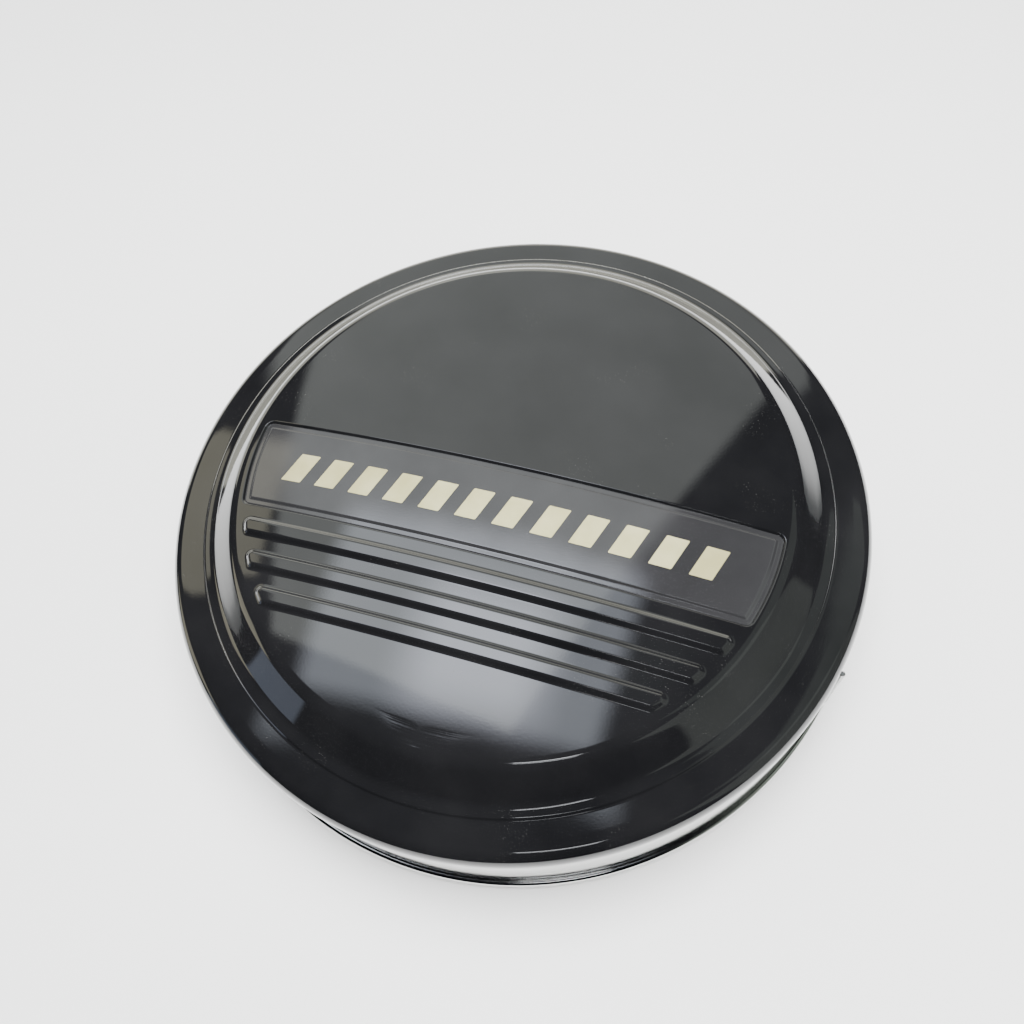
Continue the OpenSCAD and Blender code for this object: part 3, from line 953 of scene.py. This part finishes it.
# place and power of each light; they are kept out of the gloss
fills = {"size": 2.4, "lights": (("OverFill", (0.3, 0.2, 3.2), 380),
                                 ("LeftFill", (-2.6, 0.4, 2.0), 60),
                                 ("RightFill", (2.6, -0.8, 2.0), 60))}


def fillLight(name, place, power):
    data = bpy.data.lights.new(name, "AREA")
    data.shape = "SQUARE"
    data.size = fills["size"]
    data.energy = power
    light = bpy.data.objects.new(name, data)
    bpy.context.collection.objects.link(light)
    light.location = place
    light.rotation_mode = "QUATERNION"
    light.rotation_quaternion = (-Vector(place)).to_track_quat("-Z", "Y")
    light.visible_glossy = False


room = {
    "base": (0.010, 0.011, 0.013),
    "backdrop": (0.83, 0.83, 0.83, 1),
    # azimuth from +Y towards +X, elevation, roll, half width, half height, edge, fall,
    # colour, and for the main panel a left edge of its own
    "boxes": (
        (-24, 53, -19, 0.35, 0.62, 0.03, 0.45, (1.25, 1.31, 1.25), 0.44),
        (-54, 74, 0, 0.28, 0.16, 0.06, 0.0, (2.0, 2.15, 2.4)),
        (-57, 77, 0, 0.06, 0.05, 0.14, 0.0, (3.2, 3.3, 3.8)),
        (66, 54, 0, 0.24, 0.34, 0.02, 0.0, (0.22, 0.25, 0.22)),
        (95, 26, 0, 0.5, 0.4, 0.05, 0.3, (0.35, 0.38, 0.34)),
        (-70, 42, 0, 0.09, 0.13, 0.02, 0.0, (1.3, 1.25, 0.98)),
        (-104, 15, 0, 0.17, 0.15, 0.02, 0.0, (1.5, 1.42, 1.08)),
        (-124, 5, 0, 0.14, 0.14, 0.03, 0.0, (0.50, 0.58, 0.74)),
        (-28, 8, 0, 1.1, 0.18, 0.06, 0.0, (1.7, 1.68, 1.45)),
        (160, 70, 0, 0.10, 0.012, 0.012, 0.0, (9.0, 9.2, 9.5)),
        (160, 66, 0, 0.10, 0.006, 0.010, 0.0, (7.0, 7.2, 7.5)),
    ),
}


def vectorMaths(tree, operation, a, b):
    node = tree.nodes.new("ShaderNodeVectorMath")
    node.operation = operation
    feed(tree, node.inputs[0], a)
    feed(tree, node.inputs[1], b)
    return node.outputs["Value"] if operation == "DOT_PRODUCT" else node.outputs["Vector"]


def softBox(tree, direction, azimuth, elevation, roll, width, height, edge, fall, colour,
            left=None):
    # a soft-edged glowing panel far off in one direction, darker at its foot by fall;
    # left gives it a left edge that the roll doesn't turn
    ahead = Vector((sine(azimuth) * cosine(elevation), cosine(azimuth) * cosine(elevation),
                    sine(elevation)))
    level = (Vector((1, 0, 0)) - ahead * ahead.x).normalized()
    side = Matrix.Rotation(math.radians(roll), 3, ahead) @ level
    depth = maths(tree, "MAXIMUM", vectorMaths(tree, "DOT_PRODUCT", direction, ahead), 0.02)

    def along(axis):
        return maths(tree, "DIVIDE", vectorMaths(tree, "DOT_PRODUCT", direction, axis), depth)

    def within(value, limit):
        return rangeOf(tree, value, limit, limit + edge, 1, 0, "SMOOTHSTEP")

    u, v = along(side), along(side.cross(ahead))
    masks = [within(u if left else maths(tree, "ABSOLUTE", u), width),
             within(maths(tree, "ABSOLUTE", v), height)]
    if left:
        masks.append(within(along(-level), left))
    if fall:
        masks.append(rangeOf(tree, v, -height, height, 1 - fall, 1))
    mask = masks[0]
    for factor in masks[1:]:
        mask = maths(tree, "MULTIPLY", mask, factor)
    scaled = tree.nodes.new("ShaderNodeVectorMath")
    scaled.operation = "SCALE"
    scaled.inputs[0].default_value = colour
    tree.links.new(mask, scaled.inputs["Scale"])
    return scaled.outputs["Vector"]


def makeWorld():
    world = bpy.data.worlds.new("SoftRoom")
    bpy.context.scene.world = world
    world.use_nodes = True
    tree = world.node_tree
    direction = tree.nodes.new("ShaderNodeTexCoord").outputs["Generated"]
    total = room["base"]
    for box in room["boxes"]:
        total = vectorMaths(tree, "ADD", total, softBox(tree, direction, *box))
    # the camera itself sees a plain pale backdrop
    straight = tree.nodes.new("ShaderNodeLightPath").outputs["Is Camera Ray"]
    tree.links.new(mixOf(tree, straight, total, room["backdrop"]),
                   tree.nodes["Background"].inputs["Color"])


makeFloor()
makeWorld()
for light in fills["lights"]:
    fillLight(*light)

view = {"place": (0.2316, -0.4546, 1.0279), "turn": (28.407, 5.438, 17.377), "lens": 31.686}

cameraData = bpy.data.cameras.new("Camera")
cameraData.sensor_width = 36
cameraData.lens = view["lens"]
camera = bpy.data.objects.new("Camera", cameraData)
bpy.context.collection.objects.link(camera)
camera.location = view["place"]
camera.rotation_euler = [math.radians(value) for value in view["turn"]]
bpy.context.scene.camera = camera
print("stage set")
